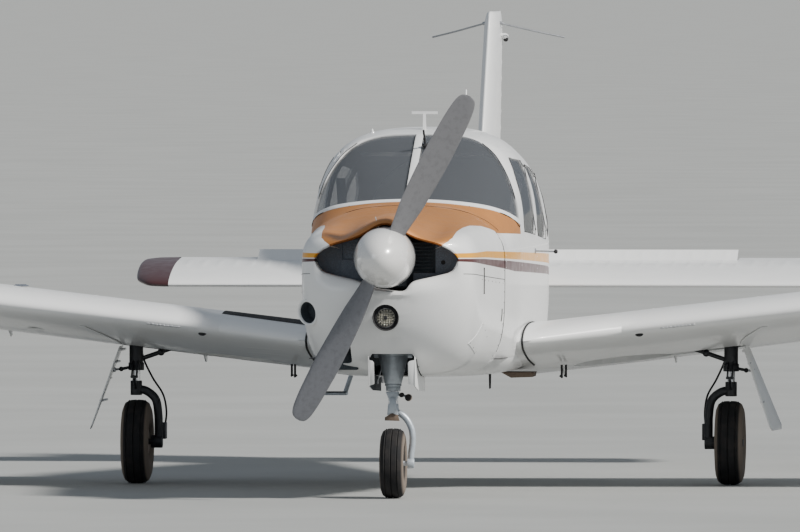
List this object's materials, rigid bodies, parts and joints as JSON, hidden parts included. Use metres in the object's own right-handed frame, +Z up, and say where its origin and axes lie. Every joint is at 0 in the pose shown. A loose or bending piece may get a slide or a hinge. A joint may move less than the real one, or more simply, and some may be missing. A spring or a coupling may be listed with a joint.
{
  "type": "four-seat low-wing light aircraft with retractable nose-wheel undercarriage",
  "caption": "White low-wing single-engine light aircraft with copper and maroon trim, standing on its gear.",
  "frame": {"origin": "on the ground under the centre line, midway between the spinner's tip and the rudder's trailing edge", "axes": "+X towards the aircraft's left wing tip, +Y aft from the spinner to the rudder, +Z up"},
  "size_m": [9.82, 7.5, 2.49],
  "materials": {
    "white_paint": "gloss",
    "copper_paint": "gloss",
    "maroon_paint": "gloss",
    "glazing": "polished",
    "gear_steel": "satin",
    "gear_dark": "satin",
    "gear_grey": "satin",
    "engine_metal": "satin",
    "propeller_metal": "satin",
    "exhaust_steel": "matte",
    "dark_trim": "matte",
    "seat_cloth": "matte",
    "rim_paint": "satin",
    "tyre_rubber": "matte"
  },
  "bodies": {
    "airframe": {"cowl_lower": "white_paint", "cowl_top": "copper_paint", "cowl_cheek_left": "white_paint", "cowl_cheek_right": "white_paint", "landing_light": "glazing", "exhaust_pipe": "exhaust_steel", "engine": "engine_metal", "firewall": "gear_steel", "belly": "white_paint", "side_left": "white_paint", "side_right": "white_paint", "scuttle": "copper_paint", "roof": "white_paint", "windscreen_left": "glazing", "windscreen_right": "glazing", "window_left_front": "glazing", "window_left_rear": "glazing", "window_left_aft": "glazing", "window_right_rear": "glazing", "window_right_aft": "glazing", "instrument_panel": "dark_trim", "seat_left": "seat_cloth", "seat_right": "seat_cloth", "rear_bench": "seat_cloth", "tail_cone": "white_paint", "fin": "white_paint", "wing_left": "white_paint", "wing_right": "white_paint", "wing_tip_left": "maroon_paint", "wing_tip_right": "maroon_paint", "main_leg_left": "gear_dark", "main_leg_right": "gear_dark", "main_gear_door_left": "white_paint", "main_gear_door_right": "white_paint", "nose_gear_door_left": "white_paint", "nose_gear_door_right": "white_paint", "nose_leg": "gear_grey", "boarding_step": "gear_dark", "roof_antenna": "white_paint", "whip_antenna": "white_paint"},
    "propeller_unit": {"propeller": "propeller_metal", "spinner": "white_paint"},
    "nose_steering_unit": {"nose_fork": "gear_grey"},
    "nose_wheel": {"nose_rim": "rim_paint", "nose_tyre": "tyre_rubber"},
    "left_wheel": {"main_rim_left": "rim_paint", "main_tyre_left": "tyre_rubber"},
    "right_wheel": {"main_rim_right": "rim_paint", "main_tyre_right": "tyre_rubber"},
    "left_aileron": {"aileron_left": "white_paint"},
    "right_aileron": {"aileron_right": "white_paint"},
    "left_flap": {"flap_left": "white_paint"},
    "right_flap": {"flap_right": "white_paint"},
    "rudder_unit": {"rudder": "white_paint"},
    "tailplane": {"stabilator": "white_paint"},
    "tab": {"antiservo_tab": "white_paint"},
    "door": {"cabin_door": "white_paint", "cabin_door_window": "glazing"},
    "baggage_hatch": {"baggage_door": "white_paint"}
  },
  "joints": [
    {"name": "propeller_spin", "type": "hinge", "parent": "airframe", "child": "propeller_unit", "pos_m": [0, -3.492, 1.25], "axis": [0, 1, 0], "continuous": true},
    {"name": "nose_steer", "type": "hinge", "parent": "airframe", "child": "nose_steering_unit", "pos_m": [0, -2.92, 0.5], "axis": [0, 0, 1], "range_deg": [-30, 30]},
    {"name": "nose_wheel_spin", "type": "hinge", "parent": "nose_steering_unit", "child": "nose_wheel", "pos_m": [0, -2.92, 0.1805], "axis": [1, 0, 0], "continuous": true},
    {"name": "left_wheel_spin", "type": "hinge", "parent": "airframe", "child": "left_wheel", "pos_m": [1.575, -0.55, 0.2222], "axis": [1, 0, 0], "continuous": true},
    {"name": "right_wheel_spin", "type": "hinge", "parent": "airframe", "child": "right_wheel", "pos_m": [-1.575, -0.55, 0.2222], "axis": [1, 0, 0], "continuous": true},
    {"name": "left_aileron_hinge", "type": "hinge", "parent": "airframe", "child": "left_aileron", "pos_m": [3.4725, -0.03438, 1.00275], "axis": [0.9919, 0.0012, 0.1267], "range_deg": [-22, 22]},
    {"name": "right_aileron_hinge", "type": "hinge", "parent": "airframe", "child": "right_aileron", "pos_m": [-3.4725, -0.03438, 1.00275], "axis": [0.9919, -0.0012, -0.1267], "range_deg": [-22, 22]},
    {"name": "left_flap_hinge", "type": "hinge", "parent": "airframe", "child": "left_flap", "pos_m": [1.495, -0.04237, 0.70655], "axis": [-0.9924, -0.0015, -0.1231], "range_deg": [0, 40]},
    {"name": "right_flap_hinge", "type": "hinge", "parent": "airframe", "child": "right_flap", "pos_m": [-1.495, -0.04237, 0.70655], "axis": [-0.9924, 0.0015, 0.1231], "range_deg": [0, 40]},
    {"name": "rudder_hinge", "type": "hinge", "parent": "airframe", "child": "rudder_unit", "pos_m": [0, 3.325, 1.84], "axis": [0, 0, 1], "range_deg": [-27, 27]},
    {"name": "tailplane_hinge", "type": "hinge", "parent": "airframe", "child": "tailplane", "pos_m": [0, 3.092, 1.022], "axis": [1, 0, 0], "range_deg": [-12.5, 3.5]},
    {"name": "tab_hinge", "type": "hinge", "parent": "tailplane", "child": "tab", "pos_m": [0, 3.52856, 1.10291], "axis": [1, 0, 0], "range_deg": [-8.62, 2.42]},
    {"name": "cabin_door_hinge", "type": "hinge", "parent": "airframe", "child": "door", "pos_m": [-0.56, -1.488, 1.2], "axis": [0, 0, 1], "range_deg": [0, 75]},
    {"name": "baggage_door_hinge", "type": "hinge", "parent": "airframe", "child": "baggage_hatch", "pos_m": [-0.549, 0.275, 1.14], "axis": [0, 0, 1], "range_deg": [0, 100]}
  ],
  "couplings": [
    {"joint": "right_aileron_hinge", "follows": "left_aileron_hinge", "ratio": -1},
    {"joint": "right_flap_hinge", "follows": "left_flap_hinge", "ratio": 1},
    {"joint": "rudder_hinge", "follows": "nose_steer", "ratio": -0.9},
    {"joint": "tab_hinge", "follows": "tailplane_hinge", "ratio": 0.69}
  ]
}
